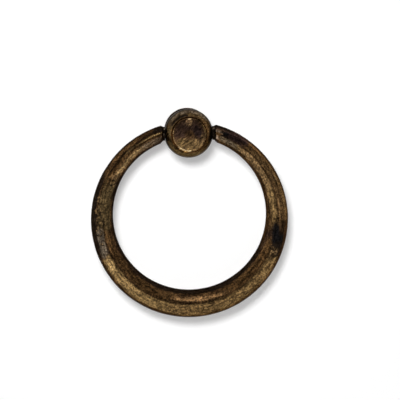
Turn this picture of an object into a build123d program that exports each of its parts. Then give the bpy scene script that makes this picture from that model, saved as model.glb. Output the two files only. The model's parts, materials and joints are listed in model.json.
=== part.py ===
from build123d import *

import os
from math import asin, cos, degrees, radians, sin, sqrt

# Drop ring pull for a drawer or a cabinet door, in millimetres.
# The drawer face is the plane Y = 0. The pull stands out along -Y and its ring hangs along -Z.
# The origin is the centre of the screw hole's mouth, in the middle of the post's foot.

# Ring: a round outline with an eccentric hole, so that it swells from straight up to its lowest point
ring_outer_diameter = 50.8
ring_top_thickness = 4.3
ring_bottom_thickness = 7.2
ring_end_rounding = 0.6
ring_sections = 25
ring_trim_angle = 3

# Pivots: a collar and a pin on each end of the ring, for a flat seat and a blind hole in the ball's side
collar_diameter = 3.6
collar_length = 0.5
pin_diameter = 2.4
pin_length = 3.0
pin_tip_chamfer = 0.3
pin_clearance = 0.08
pin_end_clearance = 0.3
seat_diameter = 3.9
seat_gap = 0.15

# Post: a ball on a short neck and a round foot, with a domed button on its front
ball_diameter = 12.5
pivot_standoff = 7.5
foot_diameter = 11.8
foot_thickness = 1.3
foot_rounding = 0.4
neck_diameter = 8.6
neck_cove = 0.7
button_diameter = 8.7
button_rise = 0.4
button_dome = 0.9
button_rounding = 0.45
groove_width = 0.35
groove_depth = 0.15

# Screw hole: a blind tapped hole for a number 8-32 machine screw, at its tapping size
screw_hole_diameter = 3.45
screw_hole_depth = 8.0
screw_hole_countersink = 0.4
drill_point_angle = 118

# Sizes that follow
outer_radius = ring_outer_diameter / 2
hole_radius = outer_radius - (ring_top_thickness + ring_bottom_thickness) / 2
hole_rise = (ring_bottom_thickness - ring_top_thickness) / 2
ball_radius = ball_diameter / 2
seat_x = sqrt(ball_radius**2 - (seat_diameter / 2) ** 2)
collar_x = seat_x + seat_gap
shoulder_x = collar_x + collar_length


def centreline_radius(angle):
    """Distance from the outline's centre to the middle of the section at an angle from straight up.

    The section touches the outline and the hole, so its middle follows an ellipse about their centres.
    """
    span = outer_radius + hole_radius
    return (span**2 - hole_rise**2) / (2 * (span - hole_rise * cos(radians(angle))))


def pivot_height():
    """Height of the pivot axis above the outline's centre, where the section's middle meets a shoulder."""
    half_span = (outer_radius + hole_radius) / 2
    half_rise = hole_rise / 2
    half_width = sqrt(half_span**2 - half_rise**2)
    return half_rise + half_span * sqrt(1 - (shoulder_x / half_width) ** 2)


def ring_section(angle):
    """Round section of the ring, in a plane through the outline's centre."""
    outward = Vector(sin(radians(angle)), 0, cos(radians(angle)))
    along = Vector(cos(radians(angle)), 0, -sin(radians(angle)))
    middle = Vector(0, -pivot_standoff, -pivot_height()) + outward * centreline_radius(angle)
    plane = Plane(origin=middle, x_dir=outward, z_dir=along)
    return plane * Circle(outer_radius - centreline_radius(angle))


def pivot_journal(side):
    """Collar and pin that reach from inside one end of the ring into the ball."""
    upright = (Align.CENTER, Align.CENTER, Align.MIN)
    root = ring_end_rounding
    collar = Cylinder(collar_diameter / 2, root + collar_length, align=upright)
    pin = Cylinder(pin_diameter / 2, root + collar_length + pin_length, align=upright)
    tip = pin.faces().sort_by(Axis.Z)[-1]
    journal = collar + chamfer(tip.edges(), pin_tip_chamfer)
    return Pos(side * (shoulder_x + root), -pivot_standoff, 0) * Rot(0, -side * 90, 0) * journal


def make_ring():
    """Tapered round ring, open at the top, with a rounded shoulder, a collar and a pin on each end."""
    first = degrees(asin(shoulder_x / outer_radius)) - ring_trim_angle
    step = (360 - 2 * first) / (ring_sections - 1)
    ring = loft([ring_section(first + i * step) for i in range(ring_sections)])
    opening = Box(2 * shoulder_x, ring_outer_diameter, outer_radius)
    ring -= Pos(0, -pivot_standoff, 0) * opening
    shoulders = ring.faces().filter_by(Axis.X)
    ring = fillet(shoulders.edges(), ring_end_rounding)
    return ring + pivot_journal(-1) + pivot_journal(1)


def post_body():
    """Foot, neck, ball, groove and domed button, turned about the screw's axis."""
    foot_radius = foot_diameter / 2
    neck_radius = neck_diameter / 2
    button_radius = button_diameter / 2
    land_radius = button_radius + groove_width
    ball_back = -pivot_standoff + sqrt(ball_radius**2 - neck_radius**2)
    land = -pivot_standoff - sqrt(ball_radius**2 - land_radius**2)
    rim = land - button_rise
    front = rim - button_dome
    dome_radius = (button_radius**2 + button_dome**2) / (2 * button_dome)
    half_button = button_radius / 2
    dome_half = front + dome_radius - sqrt(dome_radius**2 - half_button**2)
    with BuildSketch() as section:
        with BuildLine():
            Polyline(
                (0, 0),
                (foot_radius, 0),
                (foot_radius, -foot_thickness),
                (neck_radius, -foot_thickness),
                (neck_radius, ball_back),
            )
            ThreePointArc((neck_radius, ball_back), (ball_radius, -pivot_standoff), (land_radius, land))
            Polyline((land_radius, land), (button_radius, land + groove_depth), (button_radius, rim))
            ThreePointArc((button_radius, rim), (half_button, dome_half), (0, front))
            Line((0, front), (0, 0))
        make_face()
        corners = section.vertices()
        rounded = [
            ((foot_radius, -foot_thickness), foot_rounding),
            ((neck_radius, -foot_thickness), neck_cove),
            ((button_radius, rim), button_rounding),
        ]
        for place, radius in rounded:
            fillet(corners.sort_by_distance((*place, 0))[0], radius)
    return revolve(section.sketch, Axis.Y)


def screw_hole():
    """Blind tapped hole with a countersunk mouth and a drilled end, opening at the drawer face."""
    radius = screw_hole_diameter / 2
    point = radius / sin(radians(drill_point_angle / 2)) * cos(radians(drill_point_angle / 2))
    with BuildSketch() as section:
        with BuildLine():
            Polyline(
                (0, 0),
                (radius + screw_hole_countersink, 0),
                (radius, -screw_hole_countersink),
                (radius, -screw_hole_depth),
                (0, -screw_hole_depth - point),
                (0, 0),
            )
        make_face()
    return revolve(section.sketch, Axis.Y)


def pivot_seat(side):
    """Spot face on the side of the ball, and the blind hole in it for one of the ring's pins."""
    upright = (Align.CENTER, Align.CENTER, Align.MIN)
    floor = collar_x - pin_length - pin_end_clearance
    hole = Cylinder(pin_diameter / 2 + pin_clearance, shoulder_x - floor, align=upright)
    spot_face = Cylinder(seat_diameter, shoulder_x - seat_x, align=upright)
    seat = Pos(0, 0, floor) * hole + Pos(0, 0, seat_x) * spot_face
    return Pos(0, -pivot_standoff, 0) * Rot(0, side * 90, 0) * seat


def make_post():
    """Cast post with its screw hole and a pivot seat on each side."""
    return post_body() - screw_hole() - pivot_seat(-1) - pivot_seat(1)


os.makedirs("parts", exist_ok=True)
export_step(make_ring(), "parts/ring.step")
export_step(make_post(), "parts/post.step")
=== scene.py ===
import json
import logging
import math
from dataclasses import dataclass
from enum import Enum

import bmesh
import bpy
from mathutils import Matrix, Vector, noise


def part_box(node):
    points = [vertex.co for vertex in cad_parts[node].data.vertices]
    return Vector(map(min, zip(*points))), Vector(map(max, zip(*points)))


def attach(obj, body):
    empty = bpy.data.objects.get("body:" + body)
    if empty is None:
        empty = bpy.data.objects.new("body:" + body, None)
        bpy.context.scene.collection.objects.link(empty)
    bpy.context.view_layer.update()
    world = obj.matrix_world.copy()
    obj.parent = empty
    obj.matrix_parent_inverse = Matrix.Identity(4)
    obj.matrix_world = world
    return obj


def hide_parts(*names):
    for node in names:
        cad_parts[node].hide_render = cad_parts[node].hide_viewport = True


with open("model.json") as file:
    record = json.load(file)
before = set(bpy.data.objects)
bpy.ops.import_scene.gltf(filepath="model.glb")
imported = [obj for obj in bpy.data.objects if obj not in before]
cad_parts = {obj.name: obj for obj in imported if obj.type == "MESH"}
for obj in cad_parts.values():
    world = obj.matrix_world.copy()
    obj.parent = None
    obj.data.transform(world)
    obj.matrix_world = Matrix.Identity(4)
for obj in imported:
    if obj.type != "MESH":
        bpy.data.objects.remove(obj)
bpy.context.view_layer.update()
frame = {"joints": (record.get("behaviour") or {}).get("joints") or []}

# An antique-brass drop pull, hung on a white drawer front. Metres, in the frame of the solids.
MM = 0.001
PHOTO_PIXELS = 400
WHITE = (1.0, 1.0, 1.0, 1.0)
log = logging.getLogger("drop_pull")

# Points nearer than this become one
WELD = 0.001 * MM

# Marks that the ring's mesh carries for its finish
RING_MARKS = ("along", "outward", "front")
PIT_MARK = "pit"

# The part of a noise's range that most of it fills
NOISE_RANGE = (0.28, 0.72)

# Kinds of input of a geometry tree, by the kind of value
SOCKET_KINDS = {int: "NodeSocketInt", float: "NodeSocketFloat"}

# Short names for types
Socket = bpy.types.NodeSocket
Value = Socket | float | int | tuple
Pair = tuple[float, float]
Triple = tuple[float, float, float]


class Side(Enum):
    """The two ends of the ring, by the sign of their X."""

    LEFT = -1
    RIGHT = 1


@dataclass(frozen=True)
class Speckle:
    """A noise: how fine it is, how many finer layers it has, and how strong those are."""

    scale: float
    detail: float = 2.0
    rough: float = 0.5


class Graph:
    """A node tree, with short calls for the nodes that the ring, the finishes and the stage need."""

    def __init__(self, tree: bpy.types.NodeTree) -> None:
        """Keep the tree that the calls add to."""
        self.tree = tree

    def feed(self, value: Value, socket: Socket) -> None:
        """Link a socket to an input, or set a plain value on it.

        Args:
            value: The socket or the plain value.
            socket: The input.
        """
        if isinstance(value, Socket):
            self.tree.links.new(value, socket)
        else:
            socket.default_value = value

    def node(self, kind: str, inputs: dict | None = None, **settings: object) -> bpy.types.Node:
        """Add one node.

        Args:
            kind: The node's type name.
            inputs: Values or sockets, by the input's name or place.
            settings: The node's own properties.

        Returns:
            The new node.
        """
        made = self.tree.nodes.new(kind)
        for name, value in settings.items():
            setattr(made, name, value)
        for key, value in (inputs or {}).items():
            self.feed(value, made.inputs[key])
        return made

    def math(self, operation: str, *values: Value) -> Socket:
        """Add a math node and return its result."""
        return self.node("ShaderNodeMath", dict(enumerate(values)), operation=operation).outputs[0]

    def chain(self, operation: str, values: tuple[Value, ...]) -> Value:
        """Join several values by one operation, from the first to the last.

        Args:
            operation: The math node's operation.
            values: The values to join.

        Returns:
            The result.
        """
        result = values[0]
        for value in values[1:]:
            result = self.math(operation, result, value)
        return result

    def total(self, *values: Value) -> Value:
        """Add several values up."""
        return self.chain("ADD", values)

    def product(self, *values: Value) -> Value:
        """Multiply several values."""
        return self.chain("MULTIPLY", values)

    def weighted(self, values: tuple[Value, ...], weights: Triple) -> Value:
        """Add several values up, each times its weight."""
        return self.total(*(self.product(value, weight) for value, weight in zip(values, weights)))

    def centred(self, value: Value) -> Socket:
        """Move a value that runs from 0 to 1 so that it lies about zero."""
        return self.math("SUBTRACT", value, 0.5)

    def vector(self, x: Value, y: Value, z: Value) -> Socket:
        """Join three values into a vector."""
        return self.node("ShaderNodeCombineXYZ", {0: x, 1: y, 2: z}).outputs[0]

    def split(self, vector: Value) -> bpy.types.bpy_prop_collection:
        """Part a vector into its x, y and z."""
        return self.node("ShaderNodeSeparateXYZ", {0: vector}).outputs

    def shift(self, vector: Value, step: Triple) -> Socket:
        """Move a vector by a fixed step, so that a second noise differs from the first."""
        return self.node("ShaderNodeVectorMath", {0: vector, 1: step}).outputs[0]

    def ramp(self, value: Value, low: Value, high: Value, start: Value = 0.0, end: Value = 1.0) -> Socket:
        """Map a value from low..high to start..end, with a smooth step."""
        inputs = {"Value": value, "From Min": low, "From Max": high, "To Min": start, "To Max": end}
        return self.node("ShaderNodeMapRange", inputs, interpolation_type="SMOOTHSTEP").outputs[0]

    def contrast(self, value: Value, edges: Pair, amount: float) -> Socket:
        """Turn a value into a brightness that swings about one by an amount."""
        return self.ramp(value, *edges, 1 - amount, 1 + amount)

    def noise(self, vector: Value, speckle: Speckle) -> Socket:
        """Add a noise texture.

        Args:
            vector: Where the noise is read.
            speckle: Its kind.

        Returns:
            The noise, spread so that it fills most of 0..1.
        """
        look = {"Scale": speckle.scale, "Detail": speckle.detail, "Roughness": speckle.rough}
        made = self.node("ShaderNodeTexNoise", {"Vector": vector, **look})
        low, high = NOISE_RANGE
        spread = {"Value": made.outputs[0], "From Min": low, "From Max": high}
        return self.node("ShaderNodeMapRange", spread).outputs[0]

    def mix(self, factor: Value, under: Value, over: Value, blend: str = "MIX") -> Socket:
        """Lay one colour over another."""
        inputs = {0: factor, 6: under, 7: over}
        return self.node("ShaderNodeMix", inputs, data_type="RGBA", blend_type=blend).outputs[2]

    def mark(self, name: str) -> Socket:
        """Read one of the mesh's own marks."""
        return self.node("ShaderNodeAttribute", attribute_name=name).outputs["Fac"]

    def glow(self, level: float) -> Socket:
        """Add a plain white glow."""
        return self.node("ShaderNodeEmission", {"Color": WHITE, "Strength": level}).outputs[0]

    def blend(self, share: Value, first: Socket, second: Socket) -> Socket:
        """Mix two shaders by the second one's share."""
        return self.node("ShaderNodeMixShader", {0: share, 1: first, 2: second}).outputs[0]

    def seen(self) -> Socket:
        """Tell the rays that show the background, straight, off metal or through glass, from the rest."""
        rays = self.node("ShaderNodeLightPath").outputs
        return self.total(rays["Is Camera Ray"], rays["Is Glossy Ray"], rays["Is Transmission Ray"])

    def send(self, kind: str, shape: Socket, **inputs: object) -> Socket:
        """Send a shape through one geometry node and return what comes out."""
        return self.node(kind, {"Geometry": shape, **inputs}).outputs[0]


def bare_graph(owner: bpy.types.Material | bpy.types.World) -> Graph:
    """Clear the nodes of a new material or world.

    Args:
        owner: The material or world.

    Returns:
        Its empty tree.
    """
    owner.use_nodes = True
    owner.node_tree.nodes.clear()
    return Graph(owner.node_tree)


def add_object(name: str, data: bpy.types.ID) -> bpy.types.Object:
    """Make an object at the origin and put it into the scene.

    Args:
        name: Name of the object.
        data: Its mesh, lamp or camera.

    Returns:
        The object.
    """
    made = bpy.data.objects.new(name, data)
    bpy.context.scene.collection.objects.link(made)
    return made


def add_shape(name: str, shape: bmesh.types.BMesh) -> bpy.types.Object:
    """Put a finished bmesh into the scene as an object, and free it.

    Args:
        name: Name of the object and its mesh.
        shape: The bmesh.

    Returns:
        The object.
    """
    mesh = bpy.data.meshes.new(name)
    shape.to_mesh(mesh)
    shape.free()
    return add_object(name, mesh)


def applied(carrier: bpy.types.Object) -> bpy.types.Mesh:
    """Turn an object with its modifiers into a plain mesh."""
    graph = bpy.context.evaluated_depsgraph_get()
    return bpy.data.meshes.new_from_object(carrier.evaluated_get(graph))


def add_piece(
    name: str, mesh: bpy.types.Mesh, material: bpy.types.Material, sharp_angle: float
) -> bpy.types.Object:
    """Give a mesh its finish and smooth faces, and put it into the scene.

    Args:
        name: Name of the piece.
        mesh: Its mesh.
        material: Its one finish.
        sharp_angle: Angle in degrees from which an edge stays sharp.

    Returns:
        The piece.
    """
    mesh.materials.clear()
    mesh.materials.append(material)
    mesh.shade_smooth()
    mesh.set_sharp_from_angle(angle=math.radians(sharp_angle))
    return add_object(name, mesh)


def direction(azimuth: float, elevation: float) -> Vector:
    """Give the unit vector from the pull towards a place in degrees round it and above it."""
    a, e = math.radians(azimuth), math.radians(elevation)
    return Vector((math.sin(a) * math.cos(e), -math.cos(a) * math.cos(e), math.sin(e)))


@dataclass(frozen=True)
class Tone:
    """One colour of the old brass, in linear light, and how rough it is."""

    colour: Triple
    roughness: float


class PatinaAndPaintedLight(Enum):
    """Tones of the old brass: its patina, stains and worn metal, and the painted highlights, reflections and
    shade laid over them.
    """

    INK = Tone((0.009, 0.008, 0.008), 0.26)
    # Soot: dark patina, and also painted shade in the gaps at the ring's ends
    SOOT_AND_SHADE = Tone((0.015, 0.010, 0.007), 0.34)
    PLUM = Tone((0.034, 0.020, 0.017), 0.30)
    UMBER = Tone((0.040, 0.021, 0.010), 0.32)
    BRONZE = Tone((0.068, 0.042, 0.019), 0.30)
    MAUVE = Tone((0.062, 0.033, 0.019), 0.28)
    BROWN = Tone((0.100, 0.053, 0.021), 0.28)
    RUSSET = Tone((0.150, 0.078, 0.029), 0.27)
    OLIVE = Tone((0.115, 0.076, 0.033), 0.28)
    PEWTER = Tone((0.142, 0.108, 0.074), 0.28)
    TAN = Tone((0.245, 0.150, 0.066), 0.25)
    GOLD = Tone((0.225, 0.141, 0.055), 0.22)
    BRIGHT = Tone((0.420, 0.272, 0.113), 0.20)
    ROSE = Tone((0.330, 0.230, 0.155), 0.24)
    # Cream is only used for painted highlights, copper only for a painted reflection of the light above
    CREAM_HIGHLIGHT = Tone((0.700, 0.490, 0.260), 0.18)
    COPPER_REFLECTION = Tone((0.220, 0.120, 0.050), 0.22)

    @property
    def rgba(self) -> tuple[float, float, float, float]:
        """The colour as a colour socket takes it."""
        return (*self.value.colour, 1.0)

    @property
    def roughness(self) -> float:
        """How rough it is."""
        return self.value.roughness


@dataclass(frozen=True)
class Patch:
    """One worn or tarnished area, or a painted highlight, reflection or shade: degrees along a piece and a
    range across it, with soft edges.
    """

    tone: PatinaAndPaintedLight
    along: Pair
    across: Pair
    soft: Pair
    cover: float


@dataclass(frozen=True, kw_only=True)
class AgedBrass:
    """Old brass: a mottled base with patches of patina, wear and painted light laid over it in turn, broken
    up by a fine grain.
    """

    name: str
    base: PatinaAndPaintedLight
    mottle: PatinaAndPaintedLight
    patches: tuple[Patch, ...]
    warp_along: float
    warp_across: float
    drift: Speckle = Speckle(0.45, 4.0, 0.6)
    sway: Speckle = Speckle(0.8, 3.0, 0.6)
    sway_shift: Triple = (31.0, 7.0, 19.0)
    clouds: Speckle = Speckle(0.35, 3.0, 0.6)
    cloud_edges: Pair = (0.2, 0.8)
    coarse: Speckle = Speckle(0.8, 3.0, 0.6)
    fine: Speckle = Speckle(2.4, 4.0, 0.65)
    strokes: Speckle = Speckle(2.2, 3.0, 0.6)
    grain_weights: Triple = (0.4, 0.3, 0.3)
    grain_edges: Pair = (0.25, 0.75)
    grain_contrast: float = 0.58
    stroke_edges: Pair = (0.1, 0.9)
    stroke_contrast: float = 0.5
    ragged: float = 0.9
    roughness_swing: float = 0.12
    edge_tint: Triple = (0.45, 0.44, 0.43)
    bump: float = 0.9
    bump_depth: float = 0.03 * MM
    bump_weights: Triple = (0.8, 0.25, 0.25)

    def patch_mask(self) -> bpy.types.NodeTree:
        """Build the node group that says how far a patch covers a point, or fetch the one built before.

        Returns:
            The node group.
        """
        name = "patch_mask"
        if name in bpy.data.node_groups:
            return bpy.data.node_groups[name]
        tree = bpy.data.node_groups.new(name, "ShaderNodeTree")
        point = ("Along", "Across", "Grain")
        area = ("Middle", "Reach", "Soft", "Centre", "Half", "Blur", "Cover")
        for label in point + area:
            tree.interface.new_socket(label, in_out="INPUT", socket_type="NodeSocketFloat")
        tree.interface.new_socket("Mask", in_out="OUTPUT", socket_type="NodeSocketFloat")
        g = Graph(tree)
        given = g.node("NodeGroupInput").outputs
        turn = g.math("WRAP", g.math("SUBTRACT", given["Along"], given["Middle"]), -180.0, 180.0)
        beyond = g.math("SUBTRACT", g.math("ABSOLUTE", turn), given["Reach"])
        lengthwise = g.ramp(g.math("DIVIDE", beyond, given["Soft"]), 1.0, -1.0)
        aside = g.math("ABSOLUTE", g.math("SUBTRACT", given["Across"], given["Centre"]))
        outside = g.math("SUBTRACT", aside, given["Half"])
        crosswise = g.ramp(g.math("DIVIDE", outside, given["Blur"]), 1.0, -1.0)
        thick = g.total(given["Cover"], given["Grain"])
        mask = g.ramp(g.product(lengthwise, crosswise, thick), 0.0, 1.0)
        g.node("NodeGroupOutput", {0: mask})
        return tree

    def mask(self, g: Graph, patch: Patch, along: Value, across: Value, grain: Value) -> Socket:
        """Add the mask of one patch.

        Args:
            g: The material's tree.
            patch: The patch.
            along: Degrees along the piece.
            across: Place across the piece.
            grain: Grain that breaks up the patch.

        Returns:
            How far the patch covers a point.
        """
        inputs = {
            "Along": along,
            "Across": across,
            "Grain": grain,
            "Middle": sum(patch.along) / 2,
            "Reach": (patch.along[1] - patch.along[0]) / 2,
            "Soft": patch.soft[0],
            "Centre": sum(patch.across) / 2,
            "Half": (patch.across[1] - patch.across[0]) / 2,
            "Blur": patch.soft[1],
            "Cover": patch.cover,
        }
        return g.node("ShaderNodeGroup", inputs, node_tree=self.patch_mask()).outputs[0]

    def lay(self, g: Graph, place: Value, along: Value, across: Value, grain: Value) -> tuple[Value, Value]:
        """Lay the patches over the mottled base in turn.

        Args:
            g: The material's tree.
            place: Place on the piece, in millimetres.
            along: Degrees along the piece.
            across: Place across the piece.
            grain: Grain that breaks up the patches.

        Returns:
            The colour and the roughness.
        """
        cloudy = g.ramp(g.noise(place, self.clouds), *self.cloud_edges)
        colour = g.mix(cloudy, self.base.rgba, self.mottle.rgba)
        rough = self.base.roughness
        for patch in self.patches:
            mask = self.mask(g, patch, along, across, grain)
            colour = g.mix(mask, colour, patch.tone.rgba)
            step = g.math("SUBTRACT", patch.tone.roughness, rough)
            rough = g.math("MULTIPLY_ADD", step, mask, rough)
        return colour, rough

    def coordinates(self, g: Graph, place: Value) -> tuple[Value, Value, Value]:
        """Find a point's place on one piece, by that piece's own rule.

        Args:
            g: The material's tree.
            place: Place on the piece, in millimetres.

        Returns:
            The place along and across the piece, and a vector that is drawn out along its strokes.
        """
        raise NotImplementedError

    def details(self, g: Graph, place: Value, colour: Value) -> Value:
        """Add what belongs to one piece alone.

        Args:
            g: The material's tree.
            place: Place on the piece, in millimetres.
            colour: The colour so far.

        Returns:
            The colour with the details.
        """
        raise NotImplementedError

    def material(self) -> bpy.types.Material:
        """Build the finish.

        Returns:
            The material.
        """
        material = bpy.data.materials.new(self.name)
        material.use_nodes = True
        sockets = material.node_tree.nodes["Principled BSDF"].inputs
        sockets["Metallic"].default_value = 1.0
        sockets["Specular Tint"].default_value = (*self.edge_tint, 1.0)
        g = Graph(material.node_tree)
        metres = g.node("ShaderNodeTexCoord").outputs["Object"]
        scale = (1 / MM, 1 / MM, 1 / MM)
        place = g.node("ShaderNodeVectorMath", {0: metres, 1: scale}, operation="MULTIPLY").outputs[0]
        along, across, stroke = self.coordinates(g, place)
        drift = g.centred(g.noise(place, self.drift))
        sway = g.centred(g.noise(g.shift(stroke, self.sway_shift), self.sway))
        along = g.math("MULTIPLY_ADD", drift, self.warp_along, along)
        across = g.math("MULTIPLY_ADD", sway, self.warp_across, across)
        coarse = g.noise(place, self.coarse)
        fine = g.noise(place, self.fine)
        strokes = g.noise(stroke, self.strokes)
        textures = (coarse, fine, strokes)
        grain = g.product(g.centred(g.weighted(textures, self.grain_weights)), self.ragged)
        colour, rough = self.lay(g, place, along, across, grain)
        colour = self.details(g, place, colour)
        grains = g.contrast(fine, self.grain_edges, self.grain_contrast)
        scratches = g.contrast(strokes, self.stroke_edges, self.stroke_contrast)
        shade = g.product(grains, scratches)
        tint = g.node("ShaderNodeCombineColor", {0: shade, 1: shade, 2: shade}).outputs[0]
        g.feed(g.mix(1.0, colour, tint, "MULTIPLY"), sockets["Base Color"])
        swing = g.product(g.centred(coarse), self.roughness_swing)
        g.feed(g.total(swing, rough), sockets["Roughness"])
        height = g.weighted(textures, self.bump_weights)
        inputs = {"Strength": self.bump, "Distance": self.bump_depth, "Height": height}
        g.feed(g.node("ShaderNodeBump", inputs).outputs[0], sockets["Normal"])
        return material


@dataclass(frozen=True, kw_only=True)
class RingBrass(AgedBrass):
    """The ring's finish: along is degrees clockwise from the top, across runs round the section."""

    shoulder: float
    stroke_scale: Triple = (0.08, 3.0, 3.0)
    crease_wave: Speckle = Speckle(0.9, 3.0, 0.7)
    crease_bend: float = 0.9
    crease_line: float = 0.38
    crease_edges: Pair = (0.26, 0.08)
    crease_depths: Pair = (0.02, 0.2)
    crease_cover: float = 0.92
    breaks: Speckle = Speckle(0.45, 1.0)
    break_shift: Triple = (5.0, 2.0, 8.0)
    break_edges: Pair = (0.26, 0.46)
    flecks: Speckle = Speckle(1.5)
    fleck_edges: Pair = (0.5, 0.76)
    fleck_depths: Pair = (0.02, 0.3)
    fleck_cover: float = 0.75
    # Painted highlight spots on the collars, and where the painted shade in the gap at the ends fades out
    painted_glints: Speckle = Speckle(1.1, 1.0)
    painted_glint_shift: Triple = (9.0, 4.0, 2.0)
    painted_glint_edges: Pair = (0.58, 0.76)
    gap_shade_fade: Pair = (0.12, -0.02)
    gap_shade_bottom: float = -5.0

    def coordinates(self, g: Graph, place: Value) -> tuple[Value, Value, Value]:
        """Read the marks of the ring's mesh.

        Args:
            g: The material's tree.
            place: Place on the ring, in millimetres.

        Returns:
            Degrees along the ring, the place across its section, and the stroke vector. The back of the
            section lies beyond plus and minus one.
        """
        marks = [g.mark(name) for name in RING_MARKS]
        along, outward, front = marks
        behind = g.math("LESS_THAN", front, 0.0)
        past = g.math("MULTIPLY_ADD", g.math("SIGN", outward), 2.0, g.product(outward, -2.0))
        across = g.math("MULTIPLY_ADD", behind, past, outward)
        stroke = g.vector(*(g.product(mark, scale) for mark, scale in zip(marks, self.stroke_scale)))
        return along, across, stroke

    def details(self, g: Graph, place: Value, colour: Value) -> Value:
        """Fill the pits and paint shade and highlight spots on the ends."""
        return self.paint_gap_shade(g, place, self.fill_pits(g, place, colour))

    def fill_pits(self, g: Graph, place: Value, colour: Value) -> Value:
        """Draw broken creases and bright flecks in the pits.

        Args:
            g: The material's tree.
            place: Place on the ring, in millimetres.
            colour: The colour so far.

        Returns:
            The colour with the creases and flecks.
        """
        depth = g.mark(PIT_MARK)
        wave = g.centred(g.noise(place, self.crease_wave))
        bent = g.math("MULTIPLY_ADD", wave, self.crease_bend, depth)
        off_line = g.math("ABSOLUTE", g.math("SUBTRACT", bent, self.crease_line))
        broken = g.ramp(g.noise(g.shift(place, self.break_shift), self.breaks), *self.break_edges)
        lines = g.ramp(off_line, *self.crease_edges)
        crease = g.product(lines, g.ramp(depth, *self.crease_depths), broken, self.crease_cover)
        spots = g.ramp(g.noise(place, self.flecks), *self.fleck_edges)
        fleck = g.product(spots, g.ramp(depth, *self.fleck_depths), self.fleck_cover)
        return g.mix(crease, g.mix(fleck, colour, PatinaAndPaintedLight.TAN.rgba), PatinaAndPaintedLight.SOOT_AND_SHADE.rgba)

    def paint_gap_shade(self, g: Graph, place: Value, colour: Value) -> Value:
        """Paint shade, with patina, on the collars and pins in the gap at the ends, and a few painted
        highlight spots.

        Args:
            g: The material's tree.
            place: Place on the ring, in millimetres.
            colour: The colour so far.

        Returns:
            The colour with the painted shade and highlights at the ends.
        """
        # Painted shade in the gap between each end and the ball, with painted highlight spots on the collars
        x, _, z = g.split(place)
        fade = [self.shoulder + step for step in self.gap_shade_fade]
        inside = g.ramp(g.math("ABSOLUTE", x), *fade)
        at_top = g.math("GREATER_THAN", z, self.gap_shade_bottom)
        painted_glint = g.ramp(g.noise(g.shift(place, self.painted_glint_shift), self.painted_glints), *self.painted_glint_edges)
        collar = g.mix(painted_glint, PatinaAndPaintedLight.SOOT_AND_SHADE.rgba, PatinaAndPaintedLight.PEWTER.rgba)
        return g.mix(g.product(inside, at_top), colour, collar)


@dataclass(frozen=True, kw_only=True)
class PostBrass(AgedBrass):
    """The post's finish: along is degrees clockwise from the top, across is the distance from the axis."""

    equator: float
    ball_radius: float
    brush_wave: Speckle = Speckle(0.3)
    brush_bend: float = 2.2
    brush_scale: Triple = (0.2, 1.0, 0.6)
    turning_rings: Speckle = Speckle(3.0, 3.0)
    bare_edges: Pair = (-0.2, -0.02)
    bare_cover: float = 0.75

    def from_axis(self, g: Graph, x: Value, z: Value) -> Socket:
        """Give the distance from the screw's axis."""
        return g.math("SQRT", g.total(g.product(x, x), g.product(z, z)))

    def coordinates(self, g: Graph, place: Value) -> tuple[Value, Value, Value]:
        """Work out the clock angle and the distance from the axis.

        Args:
            g: The material's tree.
            place: Place on the post, in millimetres.

        Returns:
            The clock angle in degrees, the distance, which grows on behind the ball's equator, and the
            stroke vector, which follows a brush across the front.
        """
        x, y, z = g.split(place)
        along = g.math("DEGREES", g.math("ARCTAN2", x, z))
        distance = self.from_axis(g, x, z)
        behind = g.math("GREATER_THAN", y, self.equator)
        past = g.math("MULTIPLY_ADD", distance, -2.0, 2 * self.ball_radius)
        across = g.math("MULTIPLY_ADD", behind, past, distance)
        bend = g.product(g.noise(place, self.brush_wave), self.brush_bend)
        rising = g.total(x, z, bend)
        falling = g.total(g.math("SUBTRACT", x, z), bend)
        ways = zip((rising, falling, y), self.brush_scale)
        stroke = g.vector(*(g.product(way, scale) for way, scale in ways))
        return along, across, stroke

    def details(self, g: Graph, place: Value, colour: Value) -> Value:
        """Bare the flat back of the foot to plain brass with the rings of the turning tool.

        Args:
            g: The material's tree.
            place: Place on the post, in millimetres.
            colour: The colour so far.

        Returns:
            The colour with the bare back.
        """
        x, y, z = g.split(place)
        across = g.vector(self.from_axis(g, x, z), 0.0, 0.0)
        bare = g.mix(g.noise(across, self.turning_rings), PatinaAndPaintedLight.GOLD.rgba, PatinaAndPaintedLight.BRIGHT.rgba)
        back = g.product(g.ramp(y, *self.bare_edges), self.bare_cover)
        return g.mix(back, colour, bare)


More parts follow.
